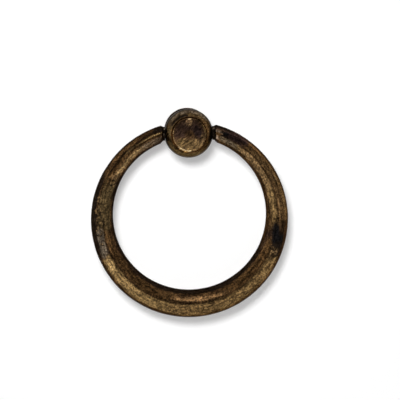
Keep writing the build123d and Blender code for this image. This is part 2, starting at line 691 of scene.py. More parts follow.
RING_PATCHES = (
    # Dark edges, and the duller back
    Patch(PatinaAndPaintedLight.UMBER, (0, 360), (0.86, 1.3), (1, 0.12), 1.0),
    Patch(PatinaAndPaintedLight.UMBER, (0, 360), (-1.3, -0.82), (1, 0.14), 0.9),
    Patch(PatinaAndPaintedLight.SOOT_AND_SHADE, (110, 346), (-1.3, -0.77), (12, 0.14), 1.0),
    Patch(PatinaAndPaintedLight.OLIVE, (0, 360), (1.25, 2.2), (1, 0.3), 0.50),
    Patch(PatinaAndPaintedLight.OLIVE, (0, 360), (-2.2, -1.25), (1, 0.3), 0.50),
    Patch(PatinaAndPaintedLight.TAN, (20, 340), (1.50, 1.95), (20, 0.2), 0.55),
    Patch(PatinaAndPaintedLight.BRIGHT, (140, 220), (1.55, 1.90), (26, 0.2), 0.55),
    # Right arm: its tan and gold bands on the inner half are painted reflections of the bright light below,
    # over worn brass
    Patch(PatinaAndPaintedLight.RUSSET, (32, 96), (0.10, 0.82), (8, 0.14), 0.96),
    Patch(PatinaAndPaintedLight.TAN, (38, 94), (0.10, 0.48), (8, 0.14), 0.44),
    Patch(PatinaAndPaintedLight.OLIVE, (48, 96), (0.52, 0.86), (10, 0.14), 0.45),
    Patch(PatinaAndPaintedLight.OLIVE, (14, 36), (-0.72, 0.0), (4, 0.12), 0.65),
    # Painted reflections of the bright light below on the inner half, over worn brass
    Patch(PatinaAndPaintedLight.TAN, (34, 80), (-0.70, 0.0), (9, 0.16), 0.62),
    Patch(PatinaAndPaintedLight.GOLD, (66, 96), (-0.64, -0.02), (9, 0.16), 0.54),
    Patch(PatinaAndPaintedLight.PLUM, (20, 37), (0.0, 0.98), (7, 0.14), 0.95),
    Patch(PatinaAndPaintedLight.UMBER, (90, 114), (0.25, 1.0), (6, 0.20), 0.95),
    Patch(PatinaAndPaintedLight.PLUM, (96, 114), (-0.85, -0.35), (6, 0.16), 0.55),
    # Lower half, the most handled: worn brass, with a painted reflection of the bright ground below on the
    # outer half, painted highlights along that band, and a painted copper reflection of the light above on
    # the inner half
    Patch(PatinaAndPaintedLight.RUSSET, (104, 154), (-0.70, -0.10), (6, 0.14), 0.70),
    # Painted reflection of the bright ground below on the outer half, over worn brass
    Patch(PatinaAndPaintedLight.GOLD, (113, 206), (-0.12, 0.76), (4, 0.14), 0.50),
    Patch(PatinaAndPaintedLight.BRIGHT, (196, 246), (0.05, 0.70), (9, 0.16), 0.50),
    Patch(PatinaAndPaintedLight.GOLD, (198, 247), (-0.02, 0.76), (2.5, 0.12), 0.55),
    # Painted reflection of the light above on the inner half
    Patch(PatinaAndPaintedLight.COPPER_REFLECTION, (153, 194), (-0.52, -0.26), (5, 0.12), 0.80),
    Patch(PatinaAndPaintedLight.RUSSET, (196, 262), (-0.66, -0.12), (8, 0.14), 0.60),
    Patch(PatinaAndPaintedLight.RUSSET, (248, 268), (-0.50, -0.02), (5, 0.14), 0.75),
    # Left side, with its grey patch, and painted highlights at the end of the lower bright band
    Patch(PatinaAndPaintedLight.OLIVE, (264, 298), (-0.70, 0.45), (6, 0.16), 0.90),
    Patch(PatinaAndPaintedLight.SOOT_AND_SHADE, (247, 258), (0.60, 1.0), (2, 0.12), 0.60),
    Patch(PatinaAndPaintedLight.PEWTER, (248, 266), (0.02, 0.68), (2, 0.12), 1.0),
    Patch(PatinaAndPaintedLight.SOOT_AND_SHADE, (255, 265), (0.10, 0.50), (3, 0.16), 0.46),
    Patch(PatinaAndPaintedLight.SOOT_AND_SHADE, (267, 276), (0.34, 0.70), (3, 0.14), 0.58),
    # Painted highlights over worn brass at the end of the lower bright band
    Patch(PatinaAndPaintedLight.BRIGHT, (237, 247), (0.08, 0.68), (2, 0.14), 0.52),
    Patch(PatinaAndPaintedLight.SOOT_AND_SHADE, (250, 300), (0.60, 1.3), (6, 0.12), 1.1),
    Patch(PatinaAndPaintedLight.SOOT_AND_SHADE, (200, 345), (0.90, 1.3), (12, 0.10), 0.9),
    # Left arm: the bright streaks on the inner half and the thin bright line on the outer half are painted
    # reflections of the lights, over worn brass
    Patch(PatinaAndPaintedLight.RUSSET, (294, 342), (-0.10, 0.36), (6, 0.12), 0.70),
    Patch(PatinaAndPaintedLight.RUSSET, (298, 332), (0.52, 0.80), (6, 0.12), 0.55),
    # Painted reflection of a light at the upper left
    Patch(PatinaAndPaintedLight.BRIGHT, (316, 346), (0.20, 0.36), (6, 0.08), 0.66),
    # Painted reflections of the bright light below on the inner half, over worn brass
    Patch(PatinaAndPaintedLight.TAN, (300, 334), (-0.62, -0.02), (6, 0.16), 0.54),
    Patch(PatinaAndPaintedLight.BRIGHT, (304, 327), (-0.44, -0.22), (5, 0.10), 0.58),
    Patch(PatinaAndPaintedLight.SOOT_AND_SHADE, (286, 304), (-1.25, -0.56), (4, 0.16), 0.85),
    Patch(PatinaAndPaintedLight.SOOT_AND_SHADE, (337, 349), (-1.25, -0.62), (3, 0.14), 0.75),
    Patch(PatinaAndPaintedLight.UMBER, (318, 344), (0.02, 0.14), (4, 0.06), 0.70),
    # Dark stain on the right side
    Patch(PatinaAndPaintedLight.INK, (93, 101), (-0.44, 0.24), (4, 0.26), 1.1),
    Patch(PatinaAndPaintedLight.INK, (98, 108), (-0.30, 0.66), (4, 0.24), 1.2),
    Patch(PatinaAndPaintedLight.SOOT_AND_SHADE, (105, 115), (-0.06, 0.74), (3, 0.20), 0.75),
    Patch(PatinaAndPaintedLight.TAN, (108.5, 113.0), (-0.05, 0.48), (2, 0.18), 0.75),
    # Fine dark lines along the crest, which are painted reflections of the dark side round the camera, and
    # the darker left end
    Patch(PatinaAndPaintedLight.PEWTER, (326, 342), (-0.74, -0.08), (6, 0.16), 0.45),
    # Painted dark reflections along the crest
    Patch(PatinaAndPaintedLight.UMBER, (24, 86), (0.02, 0.10), (8, 0.05), 0.70),
    Patch(PatinaAndPaintedLight.UMBER, (118, 196), (-0.24, -0.15), (8, 0.06), 0.60),
    Patch(PatinaAndPaintedLight.UMBER, (186, 264), (-0.09, 0.0), (6, 0.05), 0.75),
    Patch(PatinaAndPaintedLight.UMBER, (328, 346), (0.50, 1.1), (6, 0.12), 0.85),
    Patch(PatinaAndPaintedLight.PLUM, (342, 380), (-1, 1), (2, 0.10), 0.80),
    Patch(PatinaAndPaintedLight.SOOT_AND_SHADE, (337, 348), (0.45, 1.2), (3, 0.14), 0.85),
    # Right end: painted highlights on the rounded shoulder over its worn edge, and painted shade with patina
    # where it meets the ball
    Patch(PatinaAndPaintedLight.SOOT_AND_SHADE, (12, 27), (0.72, 1.2), (4, 0.12), 0.85),
    Patch(PatinaAndPaintedLight.PEWTER, (20, 31), (-0.60, -0.02), (4, 0.16), 0.60),
    Patch(PatinaAndPaintedLight.RUSSET, (15.6, 20), (-0.60, 0.62), (1.2, 0.16), 0.80),
    # Painted highlights on the worn rounded shoulder
    Patch(PatinaAndPaintedLight.ROSE, (15.8, 20.0), (0.24, 0.52), (1.0, 0.10), 1.3),
    Patch(PatinaAndPaintedLight.ROSE, (16.4, 18.8), (-0.54, -0.10), (0.8, 0.12), 1.0),
    # Painted shade with patina where the end meets the ball
    Patch(PatinaAndPaintedLight.SOOT_AND_SHADE, (12, 15.9), (-1.2, 1.2), (0.5, 0.10), 0.80),
    Patch(PatinaAndPaintedLight.INK, (19.8, 23.0), (0.06, 0.60), (1.4, 0.16), 0.80),
)
POST_PATCHES = (
    # Ball: the grey crescent at the top is a painted reflection of the light above
    Patch(PatinaAndPaintedLight.SOOT_AND_SHADE, (0, 360), (5.95, 6.6), (1, 0.2), 0.80),
    # Painted reflection of the light above on the top of the ball
    Patch(PatinaAndPaintedLight.PEWTER, (-62, 52), (5.45, 6.1), (16, 0.15), 0.62),
    Patch(PatinaAndPaintedLight.OLIVE, (-150, 150), (4.7, 5.4), (20, 0.25), 0.45),
    Patch(PatinaAndPaintedLight.OLIVE, (140, 290), (4.8, 5.8), (20, 0.2), 0.80),
    Patch(PatinaAndPaintedLight.SOOT_AND_SHADE, (-62, -6), (4.85, 5.35), (10, 0.2), 1.1),
    Patch(PatinaAndPaintedLight.RUSSET, (40, 130), (4.4, 5.2), (20, 0.2), 0.60),
    Patch(PatinaAndPaintedLight.UMBER, (10, 66), (4.78, 4.95), (12, 0.10), 0.80),
    Patch(PatinaAndPaintedLight.SOOT_AND_SHADE, (66, 112), (5.15, 6.0), (8, 0.2), 0.62),
    # Groove round the button, with painted shade along its upper side
    Patch(PatinaAndPaintedLight.RUSSET, (0, 360), (4.3, 4.75), (1, 0.10), 0.75),
    # Painted shade along the groove's upper side
    Patch(PatinaAndPaintedLight.UMBER, (-56, 40), (4.35, 4.75), (10, 0.12), 0.60),
    # Button: its dark upper part and its gold lower half are painted reflections of the dark surroundings
    # above and the bright ground below, over its patina; the glow at the top, the thin light line up the
    # left rim, the bright arc on the lower left rim and the cream spot at the top are painted highlights
    Patch(PatinaAndPaintedLight.MAUVE, (0, 360), (0, 4.15), (1, 0.25), 1.2),
    # Painted dark reflection of the surroundings above, over patina
    Patch(PatinaAndPaintedLight.PLUM, (-100, 40), (1.0, 3.7), (16, 0.4), 0.46),
    Patch(PatinaAndPaintedLight.BROWN, (0, 360), (0, 1.3), (1, 0.9), 0.58),
    # Painted reflection of the bright ground below on the lower half
    Patch(PatinaAndPaintedLight.GOLD, (122, 248), (1.2, 4.3), (18, 0.6), 0.60),
    Patch(PatinaAndPaintedLight.PLUM, (32, 104), (1.2, 3.2), (18, 0.5), 0.92),
    Patch(PatinaAndPaintedLight.TAN, (86, 134), (2.9, 4.4), (14, 0.3), 0.52),
    Patch(PatinaAndPaintedLight.GOLD, (52, 100), (3.8, 4.4), (14, 0.2), 0.50),
    # Painted highlights: the glow under the top spot, the thin light line up the left rim, the bright arc on
    # the lower left rim and the cream spot at the top
    Patch(PatinaAndPaintedLight.TAN, (-24, 14), (2.3, 4.0), (9, 0.5), 0.41),
    Patch(PatinaAndPaintedLight.TAN, (120, 290), (4.05, 4.40), (20, 0.10), 0.80),
    Patch(PatinaAndPaintedLight.CREAM_HIGHLIGHT, (176, 228), (3.92, 4.42), (10, 0.12), 1.1),
    Patch(PatinaAndPaintedLight.CREAM_HIGHLIGHT, (-8, 4), (4.00, 4.2), (3, 0.10), 0.8),
)


@dataclass(frozen=True)
class Pit:
    """A rough hollow in the casting: where it lies on the ring's front, and how wide and deep it is."""

    along: float
    outward: float
    radius: float
    depth: float


RING_PITS = (
    Pit(297.0, -0.26, 1.3 * MM, 0.20 * MM),
    Pit(299.8, -0.06, 1.2 * MM, 0.18 * MM),
    Pit(283.6, 0.42, 1.3 * MM, 0.16 * MM),
    Pit(276.4, 0.44, 1.3 * MM, 0.20 * MM),
    Pit(272.4, 0.42, 1.5 * MM, 0.24 * MM),
    Pit(269.4, 0.18, 1.3 * MM, 0.20 * MM),
    Pit(263.6, 0.42, 1.4 * MM, 0.18 * MM),
    Pit(256.6, 0.22, 1.1 * MM, 0.12 * MM),
    Pit(109.0, 0.10, 1.3 * MM, 0.18 * MM),
    Pit(112.8, 0.32, 1.3 * MM, 0.20 * MM),
)


@dataclass
class Ring:
    """The tapered ring: its outline and its hole are eccentric circles, and its section touches both."""

    outer_radius: float
    bottom_thickness: float
    standoff: float
    top_thickness: float = 4.3 * MM
    end_rounding: float = 0.6 * MM
    collar_radius: float = 1.8 * MM
    collar_length: float = 0.5 * MM
    collar_edge: float = 0.12 * MM
    pin_radius: float = 1.2 * MM
    pin_length: float = 3.0 * MM
    shoulder_x: float = 6.588 * MM
    rows: int = 640
    columns: int = 128
    rounding_rows: int = 8
    wobble: float = 0.05 * MM
    wobble_wave: Speckle = Speckle(170.0)
    pits: tuple[Pit, ...] = RING_PITS
    pit_grain: float = 1.3
    pit_level: float = 0.5
    sharp_angle: float = 50.0

    @classmethod
    def from_frame(cls) -> "Ring":
        """Take the ring's main sizes from its solid."""
        low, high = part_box("ring")
        return cls(
            outer_radius=(high.x - low.x) / 2,
            bottom_thickness=high.y - low.y,
            standoff=-(high.y + low.y) / 2,
        )

    @property
    def hole_radius(self) -> float:
        """Radius of the hole."""
        return self.outer_radius - (self.top_thickness + self.bottom_thickness) / 2

    @property
    def hole_rise(self) -> float:
        """Height of the hole's centre above the outline's."""
        return (self.bottom_thickness - self.top_thickness) / 2

    @property
    def centre_z(self) -> float:
        """Height of the outline's centre."""
        return -self.middle_height(self.shoulder_x)

    @property
    def end_x(self) -> float:
        """Distance from the middle plane at which the rounding of an end starts."""
        return self.shoulder_x + self.end_rounding

    def middle_height(self, x: float) -> float:
        """Find the section's middle near an end of the ring.

        Args:
            x: Distance from the middle plane.

        Returns:
            Height of the section's middle above the outline's centre.
        """
        half_span = (self.outer_radius + self.hole_radius) / 2
        half_rise = self.hole_rise / 2
        half_width = math.sqrt(half_span**2 - half_rise**2)
        return half_rise + half_span * math.sqrt(1 - (x / half_width) ** 2)

    def section_radius(self, x: float) -> float:
        """Radius of the section near an end, at a distance from the middle plane."""
        return self.outer_radius - math.hypot(x, self.middle_height(x))

    def inputs(self, material: bpy.types.Material | None = None) -> dict[str, object]:
        """List the named inputs of the ring's node tree.

        Args:
            material: The ring's finish, when the tree is used.

        Returns:
            The values by name.
        """
        return {
            "Rows": self.rows,
            "Columns": self.columns,
            "Outer Radius": self.outer_radius,
            "Hole Radius": self.hole_radius,
            "Hole Rise": self.hole_rise,
            "Standoff": self.standoff,
            "Centre Z": self.centre_z,
            "End X": self.end_x,
            "End Middle": math.hypot(self.end_x, self.middle_height(self.end_x)),
            "End Section": self.section_radius(self.end_x),
            "Wobble": self.wobble,
            "Material": material,
        }

    def wrap(self, g: Graph, given: bpy.types.bpy_prop_collection) -> tuple[Socket, tuple[Socket, ...]]:
        """Find where each point of a flat grid goes on the ring, by the rule of the two circles.

        Args:
            g: The ring's tree.
            given: The tree's named inputs.

        Returns:
            The place of the point, and its marks: degrees along the ring, and how far it lies outwards
            and to the front of the section.
        """
        grid_x, grid_y, _ = g.split(g.node("GeometryNodeInputPosition").outputs[0])
        share_along = g.total(grid_x, 0.5)
        around = g.product(g.total(grid_y, 0.5), math.tau)
        outward = g.math("COSINE", around)
        front = g.math("SINE", around)
        reach = g.math("MULTIPLY_ADD", given["End Section"], outward, given["End Middle"])
        first = g.math("ARCSINE", g.math("DIVIDE", given["End X"], reach))
        sweep = g.math("MULTIPLY_ADD", first, -2.0, math.tau)
        angle = g.math("MULTIPLY_ADD", share_along, sweep, first)
        span = g.total(given["Outer Radius"], given["Hole Radius"])
        rise = given["Hole Rise"]
        upper = g.math("SUBTRACT", g.product(span, span), g.product(rise, rise))
        lower = g.math("SUBTRACT", span, g.product(rise, g.math("COSINE", angle)))
        middle = g.math("DIVIDE", upper, g.product(lower, 2.0))
        radius = g.math("SUBTRACT", given["Outer Radius"], middle)
        distance = g.math("MULTIPLY_ADD", radius, outward, middle)
        position = g.vector(
            g.product(distance, g.math("SINE", angle)),
            g.math("SUBTRACT", g.product(radius, front, -1.0), given["Standoff"]),
            g.math("MULTIPLY_ADD", distance, g.math("COSINE", angle), given["Centre Z"]),
        )
        return position, (g.math("DEGREES", angle), outward, front)

    def tree(self) -> bpy.types.NodeTree:
        """Build the node tree of the ring's body.

        Returns:
            A tree that lays a grid along and around the ring and makes it uneven, as a casting is.
        """
        tree = bpy.data.node_groups.new("eccentric_ring", "GeometryNodeTree")
        tree.interface.new_socket("Geometry", in_out="OUTPUT", socket_type="NodeSocketGeometry")
        for name, value in self.inputs().items():
            kind = SOCKET_KINDS.get(type(value), "NodeSocketMaterial")
            tree.interface.new_socket(name, in_out="INPUT", socket_type=kind)
        g = Graph(tree)
        given = g.node("NodeGroupInput").outputs
        counts = {"Vertices X": given["Rows"], "Vertices Y": given["Columns"]}
        shape = g.node("GeometryNodeMeshGrid", {"Size X": 1.0, "Size Y": 1.0, **counts}).outputs["Mesh"]
        position, marks = self.wrap(g, given)
        for name, value in zip(RING_MARKS, marks):
            shape = g.send("GeometryNodeStoreNamedAttribute", shape, Name=name, Value=value)
        shape = g.send("GeometryNodeSetPosition", shape, Position=position)
        shape = g.send("GeometryNodeMergeByDistance", shape, Distance=WELD)
        uneven = g.noise(g.node("GeometryNodeInputPosition").outputs[0], self.wobble_wave)
        inward = g.product(uneven, given["Wobble"])
        normal = g.node("GeometryNodeInputNormal").outputs[0]
        offset = g.node("ShaderNodeVectorMath", {0: normal, "Scale": inward}, operation="SCALE").outputs[0]
        shape = g.send("GeometryNodeSetPosition", shape, Offset=offset)
        shape = g.send("GeometryNodeRealizeInstances", shape)
        shape = g.send("GeometryNodeSetMaterial", shape, Material=given["Material"])
        g.node("NodeGroupOutput", {0: shape})
        return tree

    def body(self, material: bpy.types.Material) -> bpy.types.Mesh:
        """Evaluate the node tree once.

        Args:
            material: The ring's finish.

        Returns:
            A plain mesh of the ring's body, open at both ends.
        """
        carrier = add_object("ring_carrier", bpy.data.meshes.new("ring_carrier"))
        modifier = carrier.modifiers.new("eccentric_ring", "NODES")
        modifier.node_group = self.tree()
        sockets = modifier.node_group.interface.items_tree
        names = {socket.name: socket.identifier for socket in sockets if socket.in_out == "INPUT"}
        for name, value in self.inputs(material).items():
            modifier[names[name]] = value
        mesh = applied(carrier)
        bpy.data.objects.remove(carrier)
        return mesh

    def end_profile(self) -> list[Pair]:
        """List the rows of an end, from the rounding over the collar to the pin's tip.

        Returns:
            The distance from the middle plane and the radius of each row.
        """
        start_radius = self.section_radius(self.end_x)
        edge = self.collar_edge
        drop = start_radius - self.collar_radius - edge
        rounding_end = math.acos(1 - drop / self.end_rounding)
        rows = []
        for step in range(1, self.rounding_rows + 1):
            turn = rounding_end * step / self.rounding_rows
            inset = self.end_rounding * (1 - math.cos(turn))
            rows.append((self.end_x - self.end_rounding * math.sin(turn), start_radius - inset))
        collar_x = self.shoulder_x - self.collar_length
        tip_x = collar_x - self.pin_length
        return rows + [
            (rows[-1][0] - edge, self.collar_radius),
            (collar_x + 2 * edge, self.collar_radius),
            (collar_x + edge / 3, self.collar_radius - edge / 3),
            (collar_x, self.collar_radius - edge),
            (collar_x, self.pin_radius),
            (tip_x + edge, self.pin_radius),
            (tip_x, self.pin_radius - edge),
        ]

    def close_end(self, shape: bmesh.types.BMesh, side: Side) -> None:
        """Add the rounded shoulder, the collar and the pin to one open end of the body.

        Args:
            shape: The ring's body, which is changed in place.
            side: The end to close.
        """
        marks = [shape.verts.layers.float[name] for name in RING_MARKS]
        rim = {v for e in shape.edges if e.is_boundary for v in e.verts if v.co.x * side.value > 0}
        start_z = self.centre_z + self.middle_height(self.end_x)
        middle = Vector((side.value * self.end_x, -self.standoff, start_z))
        last = sorted(rim, key=lambda v: math.atan2(-(v.co.y - middle.y), v.co.z - middle.z))
        spokes = [Vector((0, *(v.co - middle).yz)).normalized() for v in last]
        for x, radius in self.end_profile():
            rise = self.centre_z + self.middle_height(max(x, self.shoulder_x))
            centre = Vector((side.value * x, -self.standoff, rise))
            row = []
            for before, spoke in zip(last, spokes):
                made = shape.verts.new(centre + spoke * radius)
                for mark in marks:
                    made[mark] = before[mark]
                made[marks[0]] = math.degrees(math.atan2(made.co.x, made.co.z - self.centre_z)) % 360
                row.append(made)
            for i, before in enumerate(last):
                shape.faces.new((last[i - 1], before, row[i], row[i - 1]))
            last = row
        tip = shape.verts.new(Vector((last[0].co.x, -self.standoff, 0)))
        for i, before in enumerate(last):
            shape.faces.new((last[i - 1], before, tip))

    def surface_point(self, along: float, outward: float) -> Vector:
        """Find a point on the ring's front.

        Args:
            along: Degrees clockwise from the top.
            outward: Share of the section's radius, outwards from its middle.

        Returns:
            The point.
        """
        turn = math.radians(along)
        span = self.outer_radius + self.hole_radius
        middle = (span**2 - self.hole_rise**2) / (2 * (span - self.hole_rise * math.cos(turn)))
        radius = self.outer_radius - middle
        distance = middle + radius * outward
        y = -self.standoff - radius * math.sqrt(1 - outward**2)
        return Vector((distance * math.sin(turn), y, self.centre_z + distance * math.cos(turn)))

    def press_pits(self, shape: bmesh.types.BMesh) -> None:
        """Press the rough hollows into the ring's front and mark how far each point lies in one.

        Args:
            shape: The ring, which is changed in place.
        """
        mark = shape.verts.layers.float.new(PIT_MARK)
        for pit in self.pits:
            middle = self.surface_point(pit.along, pit.outward)
            for vert in shape.verts:
                share = (vert.co - middle).length / pit.radius
                if share < 1:
                    inside = (1 - share**2) ** 2
                    vert[mark] = max(vert[mark], inside)
                    rough = self.pit_level + noise.noise(vert.co / MM * self.pit_grain)
                    vert.co -= vert.normal * pit.depth * inside * max(0.0, rough)

    def build(self, material: bpy.types.Material) -> bpy.types.Object:
        """Make the ring with both of its ends, as one closed piece.

        Args:
            material: Its finish.

        Returns:
            The piece.
        """
        mesh = self.body(material)
        shape = bmesh.new()
        shape.from_mesh(mesh)
        for side in Side:
            self.close_end(shape, side)
        bmesh.ops.recalc_face_normals(shape, faces=shape.faces)
        shape.normal_update()
        self.press_pits(shape)
        shape.to_mesh(mesh)
        shape.free()
        return add_piece("drop_ring", mesh, material, self.sharp_angle)


@dataclass
class Post:
    """The ball-shaped post: foot, neck, ball, groove and domed button turned about the screw's axis."""

    standoff: float
    ball_radius: float
    foot_radius: float = 5.9 * MM
    foot_thickness: float = 1.3 * MM
    foot_rounding: float = 0.4 * MM
    neck_radius: float = 4.3 * MM
    neck_cove: float = 0.7 * MM
    button_radius: float = 4.35 * MM
    button_rise: float = 0.4 * MM
    button_dome: float = 0.9 * MM
    button_rounding: float = 0.45 * MM
    groove_width: float = 0.35 * MM
    groove_depth: float = 0.15 * MM
    seat_radius: float = 1.95 * MM
    pivot_hole_radius: float = 1.28 * MM
    pivot_hole_floor: float = 2.788 * MM
    cutter_excess: float = 1 * MM
    thread_radius: float = 1.725 * MM
    thread_depth: float = 0.34 * MM
    thread_pitch: float = 0.794 * MM
    thread_margin: float = 0.01 * MM
    hole_depth: float = 8.0 * MM
    hole_countersink: float = 0.4 * MM
    hole_point: float = 1.04 * MM
    segments: int = 192
    cutter_segments: int = 64
    thread_rows: int = 96
    countersink_rows: int = 3
    back_rows: int = 12
    foot_edge_rows: int = 6
    cove_rows: int = 8
    ball_rows: int = 84
    groove_rows: int = 3
    button_wall_rows: int = 2
    button_edge_rows: int = 8
    dome_rows: int = 40
    sharp_angle: float = 40.0

    @classmethod
    def from_frame(cls) -> "Post":
        """Take the post's main sizes from its solid and its pivot.

        Returns:
            The post.
        """
        low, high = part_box("post")
        pivot = frame["joints"][0]["pos_m"]
        return cls(standoff=-pivot[1], ball_radius=(high.z - low.z) / 2)

    def arc(self, centre: Pair, radius: float, start: float, end: float, steps: int) -> list[Pair]:
        """Points of an arc in the post's section.

        Args:
            centre: Distance from the axis and place along it.
            radius: Radius of the arc.
            start: First angle in degrees, from straight outwards, towards the drawer.
            end: Last angle in degrees.
            steps: Number of spans.

        Returns:
            Pairs of the distance from the axis and the place along it.
        """
        points = []
        for step in range(steps + 1):
            turn = math.radians(start + (end - start) * step / steps)
            points.append((centre[0] + radius * math.cos(turn), centre[1] + radius * math.sin(turn)))
        return points

    def run(self, start: Pair, end: Pair, steps: int) -> list[Pair]:
        """Points of a straight run in the post's section, without its first one."""
        shares = [step / steps for step in range(1, steps + 1)]
        return [(start[0] + (end[0] - start[0]) * s, start[1] + (end[1] - start[1]) * s) for s in shares]

    def hole_profile(self) -> list[Pair]:
        """Section of the screw hole, from its end to its mouth.

        Returns:
            Pairs of the distance from the axis and the place along it.
        """
        points = [(0.0, -self.hole_depth - self.hole_point), (self.thread_radius, -self.hole_depth)]
        points += self.run(points[-1], (self.thread_radius, -self.hole_countersink), self.thread_rows)
        mouth = (self.thread_radius + self.hole_countersink, 0.0)
        points += self.run(points[-1], mouth, self.countersink_rows)
        return points

    def profile(self) -> list[Pair]:
        """Section of the post, from the end of the screw hole to the tip of the button.

        Returns:
            Pairs of the distance from the axis and the place along it.
        """
        land_radius = self.button_radius + self.groove_width
        ball_back = math.degrees(math.acos(self.neck_radius / self.ball_radius))
        ball_front = math.degrees(math.acos(land_radius / self.ball_radius))
        land = -self.standoff - self.ball_radius * math.sin(math.radians(ball_front))
        rim = land - self.button_rise
        dome = (self.button_radius**2 + self.button_dome**2) / (2 * self.button_dome)
        dome_centre = (0.0, rim - self.button_dome + dome)
        corner_x = self.button_radius - self.button_rounding
        corner_drop = math.sqrt((dome - self.button_rounding) ** 2 - corner_x**2)
        corner = (corner_x, dome_centre[1] - corner_drop)
        dome_edge = math.degrees(math.atan2(corner_x, corner_drop))
        points = self.hole_profile()
        points += self.run(points[-1], (self.foot_radius, 0.0), self.back_rows)
        edge = (self.foot_radius - self.foot_rounding, -self.foot_thickness + self.foot_rounding)
        points += self.arc(edge, self.foot_rounding, 0, -90, self.foot_edge_rows)
        cove = (self.neck_radius + self.neck_cove, -self.foot_thickness - self.neck_cove)
        points += self.arc(cove, self.neck_cove, 90, 180, self.cove_rows)
        points += self.arc((0.0, -self.standoff), self.ball_radius, ball_back, -ball_front, self.ball_rows)
        points += self.run(points[-1], (self.button_radius, land + self.groove_depth), self.groove_rows)
        points += self.run(points[-1], (self.button_radius, corner[1]), self.button_wall_rows)
        points += self.arc(corner, self.button_rounding, 0, dome_edge - 90, self.button_edge_rows)
        points += self.arc(dome_centre, dome, dome_edge - 90, -90, self.dome_rows)
        return points

    def thread_cut(self, radius: float, y: float, turn: float) -> float:
        """Find the depth of the thread at a point of the section.

        Args:
            radius: Distance from the axis.
            y: Place along the axis.
            turn: Angle about the axis.

        Returns:
            The depth on the screw hole's wall, and nothing elsewhere.
        """
        past_wall = radius > self.thread_radius + self.thread_margin
        in_mouth = y > -self.hole_countersink - self.thread_margin
        if past_wall or in_mouth:
            return 0.0
        phase = (y / self.thread_pitch + turn / math.tau) % 1.0
        fade = min(1.0, max(0.0, (self.hole_depth + y) / self.thread_pitch))
        return self.thread_depth * fade * (1 - abs(2 * phase - 1))

    def turned(self) -> bmesh.types.BMesh:
        """Turn the section about the screw's axis, with the thread in its hole.

        Returns:
            The closed shape, before the seats and pivot holes are cut.
        """
        shape = bmesh.new()
        rows = []
        for radius, y in self.profile():
            if radius < WELD:
                rows.append([shape.verts.new((0.0, y, 0.0))])
                continue
            row = []
            for i in range(self.segments):
                turn = math.tau * i / self.segments
                deep = radius + self.thread_cut(radius, y, turn)
                row.append(shape.verts.new((deep * math.sin(turn), y, deep * math.cos(turn))))
            rows.append(row)
        for before, after in zip(rows, rows[1:]):
            for i in range(self.segments):
                corners = [before[(i - 1) % len(before)], before[i % len(before)]]
                corners += [after[i % len(after)], after[(i - 1) % len(after)]]
                shape.faces.new(list(dict.fromkeys(corners)))
        bmesh.ops.remove_doubles(shape, verts=shape.verts, dist=WELD / 2)
        bmesh.ops.recalc_face_normals(shape, faces=shape.faces)
        return shape

    def cutter(self, side: Side) -> bpy.types.Object:
        """Make the tool that cuts one flat seat and its pivot hole into the ball.

        Args:
            side: The side of the ball.

        Returns:
            The tool.
        """
        seat_x = math.sqrt(self.ball_radius**2 - self.seat_radius**2)
        beyond = self.ball_radius + self.cutter_excess
        wide = 2 * self.seat_radius
        steps = [(self.pivot_hole_floor, self.pivot_hole_radius), (seat_x, self.pivot_hole_radius)]
        steps += [(seat_x, wide), (beyond, wide)]
        shape = bmesh.new()
        rows = []
        for x, radius in steps:
            row = []
            for i in range(self.cutter_segments):
                turn = math.tau * i / self.cutter_segments
                place = (side.value * x, -self.standoff + radius * math.cos(turn), radius * math.sin(turn))
                row.append(shape.verts.new(place))
            rows.append(row)
        for before, after in zip(rows, rows[1:]):
            for i in range(self.cutter_segments):
                shape.faces.new((before[i - 1], before[i], after[i], after[i - 1]))
        shape.faces.new(rows[0])
        shape.faces.new(rows[-1])
        bmesh.ops.recalc_face_normals(shape, faces=shape.faces)
        return add_shape("pivot_cutter", shape)

    def clean(self, mesh: bpy.types.Mesh) -> None:
        """Merge the slivers that the cuts leave along their edges.

        Args:
            mesh: The post's mesh, which is changed in place.
        """
        shape = bmesh.new()
        shape.from_mesh(mesh)
        bmesh.ops.remove_doubles(shape, verts=shape.verts, dist=WELD)
        bmesh.ops.dissolve_degenerate(shape, edges=shape.edges, dist=WELD)
        shape.to_mesh(mesh)
        shape.free()

    def build(self, material: bpy.types.Material) -> bpy.types.Object:
        """Make the post with its thread, its seats and its pivot holes, as one closed piece.

        Args:
            material: Its finish.

        Returns:
            The piece.
        """
        blank = add_shape("ball_post_turned", self.turned())
        tools = [self.cutter(side) for side in Side]
        for tool in tools:
            cut = blank.modifiers.new("pivot_seat", "BOOLEAN")
            cut.operation = "DIFFERENCE"
            cut.solver = "EXACT"
            cut.object = tool
        mesh = applied(blank)
        for spare in [blank, *tools]:
            bpy.data.objects.remove(spare)
        self.clean(mesh)
        return add_piece("ball_post", mesh, material, self.sharp_angle)


@dataclass(frozen=True)
class Card:
    """A plain card that only reflections show: its span in azimuth and elevation, and its level of grey."""

    name: str
    azimuth: Pair
    elevation: Pair
    level: float


CARDS = (
    Card("card_upper_left", (-60, -10), (8, 58), 0.22),
    Card("card_upper_right", (12, 75), (5, 52), 0.25),
    Card("card_right", (32, 85), (-28, 4), 0.40),
    Card("card_camera", (-9, 11), (-9, 21), 0.20),
    Card("strip_above", (-6, 8), (25, 52), 2.00),
    Card("screen_lower_left", (-65, -22), (-62, -26), 1.60),
)


@dataclass(frozen=True)
class Backing:
    """A pale sheet: its grey, the share of plain white in it near the pull, and where it turns all white."""

    name: str
    grey: float
    white_share: float
    fade: Pair


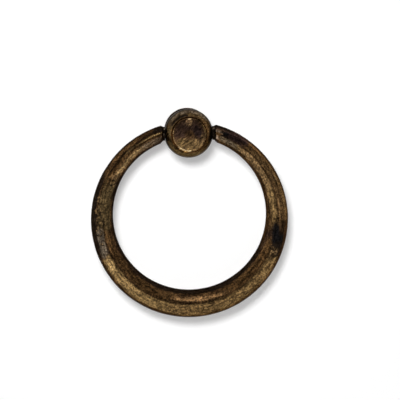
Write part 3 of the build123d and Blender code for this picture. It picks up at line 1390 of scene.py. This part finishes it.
@dataclass
class Studio:
    """White drawer front, pale floor, soft light and the camera at the photograph's angle."""

    azimuth: float = -3.5
    elevation: float = 7.0
    roll: float = 0.7
    distance: float = 0.7
    pixels_per_metre: float = 3890.0
    ring_centre_pixel: Pair = (189.67, 219.5)
    front: Backing = Backing("white_front", 0.96, 0.28, (0.06, 0.09))
    floor: Backing = Backing("pale_floor", 0.85, 0.6, (0.19, 0.32))
    wall_gap: float = 0.3 * MM
    touch: float = 1.5 * MM
    floor_drop: float = 170 * MM
    reach: float = 1.5
    key_direction: Triple = (-0.155, -0.93, 0.34)
    key_distance: float = 0.6
    key_size: float = 0.15
    key_spread: float = 60.0
    key_power: float = 0.365
    ambient: float = 0.30
    card_distance: float = 0.5
    cards: tuple[Card, ...] = CARDS

    def view_axes(self) -> tuple[Vector, Vector, Vector]:
        """Work out how the camera stands.

        Returns:
            Its right, up and backward directions.
        """
        back = direction(self.azimuth, self.elevation)
        level = (-back).to_track_quat("-Z", "Y").to_matrix()
        turned = level @ Matrix.Rotation(math.radians(-self.roll), 3, "Z")
        return turned.col[0], turned.col[1], turned.col[2]

    def camera(self, centre: Vector) -> None:
        """Place the camera so that the ring's centre lands on its pixel of the photograph.

        Args:
            centre: Centre of the ring's outline.
        """
        right, up, back = self.view_axes()
        middle = PHOTO_PIXELS / 2
        across = (middle - self.ring_centre_pixel[0]) / self.pixels_per_metre
        above = (self.ring_centre_pixel[1] - middle) / self.pixels_per_metre
        place = centre + right * across + up * above + back * self.distance
        data = bpy.data.cameras.new("camera")
        data.lens = data.sensor_width * self.distance * self.pixels_per_metre / PHOTO_PIXELS
        camera = add_object("camera", data)
        turn = Matrix((right, up, back)).transposed().to_4x4()
        camera.matrix_world = Matrix.Translation(place) @ turn
        bpy.context.scene.camera = camera

    def one_sided(self, backing: Backing) -> bpy.types.Material:
        """Make a matt pale surface that shows from its front and lets the view through from behind.

        Args:
            backing: Its name, its grey and where it is plain white.

        Returns:
            The material.
        """
        material = bpy.data.materials.new(backing.name)
        g = bare_graph(material)
        place = g.node("ShaderNodeTexCoord").outputs["Object"]
        away = g.node("ShaderNodeVectorMath", {0: place}, operation="LENGTH").outputs["Value"]
        plain = g.product(g.ramp(away, *backing.fade, backing.white_share, 1.0), g.seen())
        grey = (backing.grey, backing.grey, backing.grey, 1.0)
        matt = g.node("ShaderNodeBsdfDiffuse", {"Color": grey}).outputs[0]
        front = g.blend(plain, matt, g.glow(1.0))
        ray_length = g.node("ShaderNodeLightPath").outputs["Ray Length"]
        touching = g.math("LESS_THAN", ray_length, self.touch)
        behind = g.node("ShaderNodeNewGeometry").outputs["Backfacing"]
        clear = g.node("ShaderNodeBsdfTransparent").outputs[0]
        surface = g.blend(g.math("MAXIMUM", behind, touching), front, clear)
        g.node("ShaderNodeOutputMaterial", {"Surface": surface})
        return material

    def sheet(self, name: str, corners: list, material: bpy.types.Material) -> bpy.types.Object:
        """Make one flat sheet of the stage.

        Args:
            name: Name of the sheet.
            corners: Its four corners.
            material: Its material.

        Returns:
            The sheet.
        """
        mesh = bpy.data.meshes.new(name)
        mesh.from_pydata(corners, [], [(0, 1, 2, 3)])
        mesh.materials.append(material)
        made = add_object(name, mesh)
        return made

    def backdrop(self) -> None:
        """Make the white drawer front and the pale floor below it."""
        r, y, z = self.reach, self.wall_gap, -self.floor_drop
        wall = [(-r, y, z), (r, y, z), (r, y, r), (-r, y, r)]
        ground = [(-r, -r, z), (r, -r, z), (r, r, z), (-r, r, z)]
        self.sheet("drawer_front", wall, self.one_sided(self.front))
        self.sheet("floor", ground, self.one_sided(self.floor))

    def card(self, card: Card, target: Vector) -> None:
        """Hang one grey card in front of the pull, where only reflections see it.

        Args:
            card: The card.
            target: Centre of the ring's outline.
        """
        material = bpy.data.materials.new(card.name)
        g = bare_graph(material)
        g.node("ShaderNodeOutputMaterial", {"Surface": g.glow(card.level)})
        (left, right), (low, high) = card.azimuth, card.elevation
        turns = (left, low), (right, low), (right, high), (left, high)
        corners = [target + direction(*turn) * self.card_distance for turn in turns]
        made = self.sheet(card.name, corners, material)
        made.visible_camera = False
        made.visible_diffuse = False
        made.visible_shadow = False

    def key_light(self, target: Vector) -> None:
        """Hang a soft key at the upper left, close to the camera, which casts the shadow to the lower right.

        Args:
            target: Centre of the ring's outline.
        """
        data = bpy.data.lights.new("key", "AREA")
        data.shape = "DISK"
        data.size = self.key_size
        data.spread = math.radians(self.key_spread)
        data.energy = self.key_power
        lamp = add_object("key", data)
        towards = Vector(self.key_direction).normalized()
        lamp.location = target + towards * self.key_distance
        lamp.rotation_euler = towards.to_track_quat("Z", "Y").to_euler()
        lamp.visible_glossy = False

    def surroundings(self) -> None:
        """Make white surroundings for the camera and for reflections, and an even soft light."""
        world = bpy.data.worlds.new("white_tent")
        bpy.context.scene.world = world
        g = bare_graph(world)
        soft = g.node("ShaderNodeBackground", {"Color": WHITE, "Strength": self.ambient}).outputs[0]
        white = g.node("ShaderNodeBackground", {"Color": WHITE, "Strength": 1.0}).outputs[0]
        g.node("ShaderNodeOutputWorld", {"Surface": g.blend(g.seen(), soft, white)})

    def build(self, ring: Ring) -> None:
        """Set up the whole stage around the ring.

        Args:
            ring: The ring, whose centre the camera and the light point at.
        """
        centre = Vector((0.0, -ring.standoff, ring.centre_z))
        self.camera(centre)
        self.backdrop()
        for card in self.cards:
            self.card(card, centre)
        self.key_light(centre)
        self.surroundings()
        bpy.context.scene.view_settings.view_transform = "Standard"


def dress(piece: bpy.types.Object, body: str) -> None:
    """Let a finished piece stand for its node and ride on its body.

    Args:
        piece: The piece.
        body: Name of the node and its body.
    """
    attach(piece, body)
    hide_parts(body)
    log.info("%s: %d faces on body %s", piece.name, len(piece.data.polygons), body)


def main() -> None:
    """Build the ring, the post and the stage."""
    logging.basicConfig(level=logging.INFO, format="%(message)s")
    ring = Ring.from_frame()
    post = Post.from_frame()
    ring_brass = RingBrass(
        name="ring_brass",
        base=PatinaAndPaintedLight.BROWN,
        mottle=PatinaAndPaintedLight.UMBER,
        patches=RING_PATCHES,
        warp_along=6.0,
        warp_across=0.16,
        shoulder=ring.shoulder_x / MM,
    )
    post_brass = PostBrass(
        name="post_brass",
        base=PatinaAndPaintedLight.BRONZE,
        mottle=PatinaAndPaintedLight.UMBER,
        patches=POST_PATCHES,
        warp_along=24.0,
        warp_across=0.18,
        grain_contrast=0.3,
        stroke_contrast=0.75,
        equator=-post.standoff / MM,
        ball_radius=post.ball_radius / MM,
    )
    dress(ring.build(ring_brass.material()), "ring")
    dress(post.build(post_brass.material()), "post")
    Studio().build(ring)


if __name__ == "__main__":
    main()
